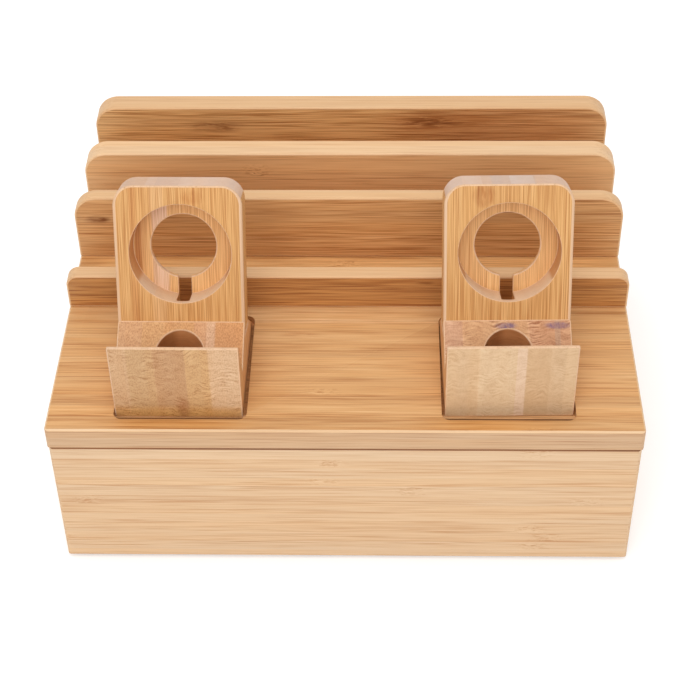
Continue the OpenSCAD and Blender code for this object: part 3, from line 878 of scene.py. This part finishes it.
DIVIDER_CORNERS = {"front_divider": 6.0, "second_divider": 12.0, "third_divider": 12.0, "rear_divider": 12.0}
TONGUE_STOP = 10.0 * MM
TONGUE_THICKNESS = 5.0 * MM


def make_dividers():
    """The four dividers, each made to its CAD piece's size."""
    tree = divider_tree()
    lid_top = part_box("lid_panel")[1].z
    for node, face in divider_faces.items():
        low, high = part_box(node)
        width = high.x - low.x
        piece = shaped(
            node + "_board", tree, face, width=width, height=high.z - lid_top, thickness=high.y - low.y,
            corner_radius=DIVIDER_CORNERS[node] * MM, back=high.y, foot_level=lid_top,
            tongue_length=width - 2.0 * TONGUE_STOP, tongue_thickness=TONGUE_THICKNESS,
            tongue_depth=lid_top - low.z)
        paint(piece, divider_edges[node])
        paint_where(piece, divider_edges[node], lambda normal, centre: abs(normal.y) < 0.3)
        round_edges(piece, DIVIDER_ROUND, segments=4, arris=1)
        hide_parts(node)
        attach(piece, "lid")


# Distances from the charging hole, and heights above it
HOLE_RIM = 18.0 * MM
RECESS_WALL = (20.0 * MM, 24.0 * MM)
RECESS_RIM = 26.0 * MM
PLATE_END_START = 28.0 * MM
ROUND_TAPER = (22.0 * MM, 31.0 * MM)
# The hole in the cradle for a case's cable, and a height between the cradle's floors and its top
CASE_HOLE_REACH = 12.0 * MM
CASE_HOLE_PLACE = 18.2 * MM
CRADLE_TOP_START = 40.0 * MM


def plate_share(from_axis, height):
    """How much of the full round-over an edge of the plate gets, by its place round the charging hole.

    The sides get the most, the top less and the rims of the hole and the recess little.
    """
    if from_axis <= HOLE_RIM:
        return 0.35
    if from_axis <= RECESS_RIM:
        return 0.15
    start, end = ROUND_TAPER
    return 1.0 - 0.6 * min(1.0, max(0.0, (height - start) / (end - start)))


def make_stands():
    """The two stands: a leaning plate, a cradle block and the dowels that join them."""
    for side in ("left", "right"):
        way = stand_directions(side)
        right, inward = way["right"], way["inward"]
        finish = stand_faces[side]
        case_hole = way["front"] + CASE_HOLE_PLACE * way["back"]
        top_start = way["front"].z + CRADLE_TOP_START

        def from_axis(place):
            return (place - way["hole"]).cross(inward).length

        def share(middle):
            return plate_share(from_axis(middle), (middle - way["hole"]).dot(way["upward"]))

        # The plate's rounded edges take the painted highlight
        plate = softened(side + "_leaning_plate", side + "_plate", PLATE_ROUND, segments=4, arris=2,
                         share=share, facing=inward, wide=True)
        paint(plate, finish["plate"], finish["plate_end"], finish["arris"], finish["recess"])
        paint_where(plate, finish["plate_end"],
                    lambda normal, centre: normal.dot(way["upward"]) > 0.35
                    and (centre - way["hole"]).length > PLATE_END_START)
        # Painted highlight and shade on the wall of the recess
        paint_where(plate, finish["recess"],
                    lambda normal, centre: abs(normal.dot(inward)) < 0.3
                    and RECESS_WALL[0] < from_axis(centre) < RECESS_WALL[1])
        # The cradle's rounded edges take the painted highlight too
        cradle = softened(side + "_cradle_block", side + "_cradle", CRADLE_ROUND, arris=4, wide=True)
        paint(cradle, finish["cradle"], finish["trough"], finish["cheek"], finish["bore"], finish["arris"])
        paint_where(cradle, finish["trough"],
                    lambda normal, centre: normal.z > 0.3 and abs(normal.dot(right)) < 0.5)
        # Painted highlight on the top of the cradle's lip
        paint_where(cradle, finish["arris"], lambda normal, centre: normal.z > 0.95 and centre.z > top_start)
        paint_where(cradle, finish["cheek"], lambda normal, centre: abs(normal.dot(right)) > 0.9)
        # Painted shade inside the case hole
        paint_where(cradle, finish["bore"],
                    lambda normal, centre: abs(normal.z) < 0.1
                    and (centre - case_hole).to_2d().length < CASE_HOLE_REACH)
        for piece, slot in ((plate, "plate_bamboo"), (cradle, "end_grain_bamboo")):
            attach(piece, side + "_stand")
        nodes[side + "_dowels"].data.materials.clear()
        paint(nodes[side + "_dowels"], dowel_finish)


RING_HEIGHT = 0.3 * MM
PAD_SHARP = math.radians(35.0)


def make_feet():
    """The four foot pads as one piece, which stands for the four CAD feet."""
    names = [corner + "_foot" for corner in ("front_left", "front_right", "rear_left", "rear_right")]
    middles = [sum(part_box(name), Vector()) / 2.0 for name in names]
    low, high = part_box(names[0])
    piece = shaped(
        "foot_pads", pad_tree(), rubber, radius=(high.x - low.x) / 2.0, thickness=high.z - low.z,
        ring_height=RING_HEIGHT, spread_x=middles[1].x - middles[0].x, spread_y=middles[2].y - middles[0].y)
    for polygon in piece.data.polygons:
        polygon.use_smooth = len(polygon.vertices) == 4
    piece.data.set_sharp_from_angle(angle=PAD_SHARP)
    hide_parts(*names)
    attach(piece, "box")


make_box()
make_lid()
make_dividers()
make_stands()
make_feet()


# Studio

FLOOR_REACH = 6.0
FLOOR_GREY = 0.86
# What the camera sees is brighter than what lights the pieces
FLOOR_GLOW = 0.3
WORLD_LIGHT = 0.66
WORLD_GLOW = 0.34


def seen(w):
    """1 for the rays of the camera, of mirrors and of glass, and 0 for those that only light."""
    rays = w.add("ShaderNodeLightPath").outputs
    by_way = w.math("MAXIMUM", rays["Is Glossy Ray"], rays["Is Transmission Ray"])
    return w.math("MAXIMUM", rays["Is Camera Ray"], by_way)


def make_floor():
    """A wide pale floor under the feet."""
    far = FLOOR_REACH
    mesh = bpy.data.meshes.new("floor")
    mesh.from_pydata([(-far, -far, 0), (far, -far, 0), (far, far, 0), (-far, far, 0)], [], [(0, 1, 2, 3)])
    floor = bpy.data.objects.new("floor", mesh)
    bpy.context.scene.collection.objects.link(floor)
    material = bpy.data.materials.new("pale_floor")
    material.use_nodes = True
    w = Wiring(material.node_tree)
    surface = material.node_tree.nodes["Principled BSDF"]
    surface.inputs["Base Color"].default_value = (FLOOR_GREY, FLOOR_GREY, FLOOR_GREY, 1.0)
    surface.inputs["Roughness"].default_value = 0.9
    surface.inputs["Specular IOR Level"].default_value = 0.1
    surface.inputs["Emission Color"].default_value = (1.0, 1.0, 1.0, 1.0)
    w.feed(surface.inputs["Emission Strength"], w.times(seen(w), FLOOR_GLOW))
    mesh.materials.append(material)


def make_light(name, place, aim, width, power):
    """A square white lamp, in metres and watts."""
    light = bpy.data.lights.new(name, "AREA")
    light.shape = "SQUARE"
    light.size = width
    light.energy = power
    lamp = bpy.data.objects.new(name, light)
    lamp.location = place
    lamp.rotation_euler = (Vector(aim) - Vector(place)).to_track_quat("-Z", "Y").to_euler()
    bpy.context.scene.collection.objects.link(lamp)


def make_world():
    """An even white surround."""
    world = bpy.data.worlds.new("studio")
    world.use_nodes = True
    bpy.context.scene.world = world
    w = Wiring(world.node_tree)
    background = world.node_tree.nodes["Background"]
    background.inputs["Color"].default_value = (1.0, 1.0, 1.0, 1.0)
    w.feed(background.inputs["Strength"], w.plus(WORLD_LIGHT, w.times(seen(w), WORLD_GLOW)))


# Angles in degrees, and a focal length in pixels of a picture that is FRAME_PIXELS across
CAMERA_PLACE = Vector((17.4, -634.4, 618.4)) * MM
CAMERA_YAW = -1.98
CAMERA_PITCH = 42.10
CAMERA_ROLL = -1.18
FOCAL_PIXELS = 1670.0
FRAME_PIXELS = 680.0
SENSOR = 36.0


def make_camera():
    """The camera that was fitted to the photo."""
    data = bpy.data.cameras.new("camera")
    data.sensor_width = SENSOR
    data.lens = SENSOR * FOCAL_PIXELS / FRAME_PIXELS
    camera = bpy.data.objects.new("camera", data)
    turn = (Matrix.Rotation(math.radians(-CAMERA_YAW), 4, "Z")
            @ Matrix.Rotation(math.radians(90.0 - CAMERA_PITCH), 4, "X")
            @ Matrix.Rotation(math.radians(CAMERA_ROLL), 4, "Z"))
    camera.matrix_world = Matrix.Translation(CAMERA_PLACE) @ turn
    bpy.context.scene.collection.objects.link(camera)
    bpy.context.scene.camera = camera


make_floor()
make_world()
make_light("overhead", (-0.2, 0.0, 1.6), aim=(0.0, 0.0, 0.05), width=1.4, power=7.0)
make_light("front_fill", (-0.1, -1.5, 1.25), aim=(0.0, 0.0, 0.08), width=1.2, power=13.0)
make_camera()

bpy.context.scene.view_settings.view_transform = "Standard"
